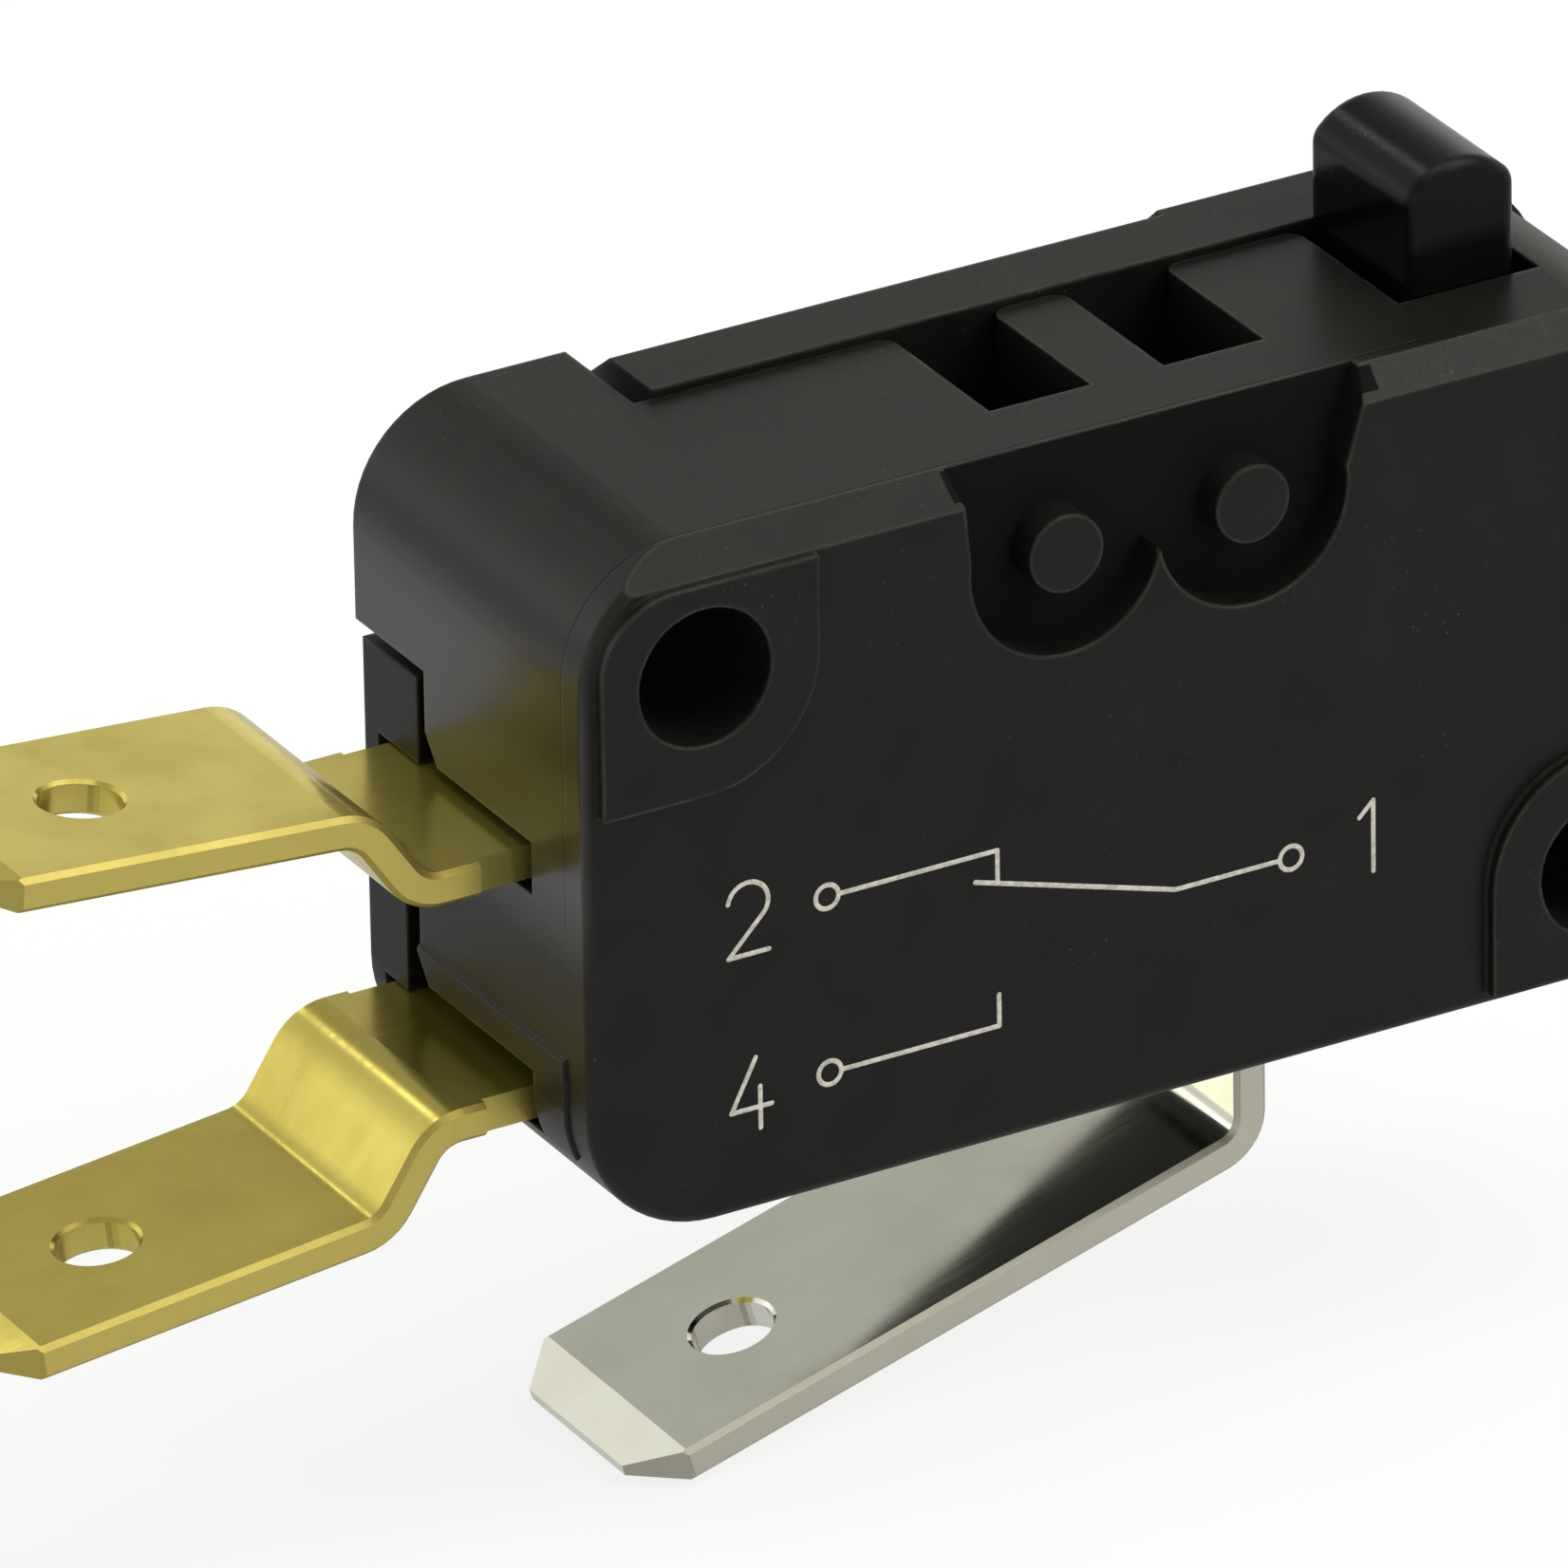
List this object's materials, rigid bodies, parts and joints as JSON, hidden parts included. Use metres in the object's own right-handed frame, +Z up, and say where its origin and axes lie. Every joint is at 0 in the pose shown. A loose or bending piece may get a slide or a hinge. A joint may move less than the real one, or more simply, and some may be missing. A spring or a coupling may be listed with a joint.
{
  "type": "micro switch",
  "caption": "Snap-action micro switch: flat black housing with diagonal mounting holes, crowned plunger, lever pegs and bent push-on terminals.",
  "frame": {"origin": "on the axis of the upper mounting hole, the one beside the terminals, midway through the depth", "axes": "+X along the housing towards the plunger end, +Y through the depth towards the rear cover, +Z up in the direction the plunger stands out"},
  "size_m": [0.0409, 0.0104, 0.0267],
  "materials": {
    "housing_plastic": "fine matt charcoal black moulding",
    "cover_plastic": "fine matt charcoal black moulding",
    "plunger_plastic": "satin black moulding",
    "terminal_brass": "bright rolled brass sheet",
    "terminal_tin": "tin-plated brass sheet, bright",
    "contact_silver": "silver alloy contact",
    "arm_copper": "rolled copper alloy blade",
    "lever_plastic": "natural white moulding",
    "spring_steel": "bright spring wire"
  },
  "bodies": {
    "housing": {"housing_base": "housing_plastic", "rear_cover": "cover_plastic", "nc_terminal": "terminal_brass", "no_terminal": "terminal_brass", "com_terminal": "terminal_tin", "nc_contact": "contact_silver", "no_contact": "contact_silver"},
    "plunger": {"plunger": "plunger_plastic"},
    "lever": {"actuating_lever": "lever_plastic"},
    "blade": {"contact_arm": "arm_copper", "moving_contact": "contact_silver", "snap_spring": "spring_steel"}
  },
  "joints": [
    {"name": "plunger_press", "type": "slide", "parent": "housing", "child": "plunger", "axis": [0, 0, 1], "range_m": [-0.002, 0], "stiffness_N_per_m": 400, "springref_m": 0.002},
    {"name": "lever_turn", "type": "hinge", "parent": "housing", "child": "lever", "pos_m": [0.0167, 0.0009, -0.0098], "axis": [0, 1, 0], "range_deg": [0, 25.14]},
    {"name": "blade_rock", "type": "hinge", "parent": "housing", "child": "blade", "pos_m": [0.0146, 0.0009, -0.0072], "axis": [0, 1, 0], "range_deg": [-6.21, 0], "deforming": ["snap_spring"]}
  ],
  "couplings": [
    {"joint": "lever_turn", "follows": "plunger_press", "rad_per_m": -218.95},
    {"joint": "blade_rock", "follows": "plunger_press", "rad_per_m": 54.11}
  ]
}
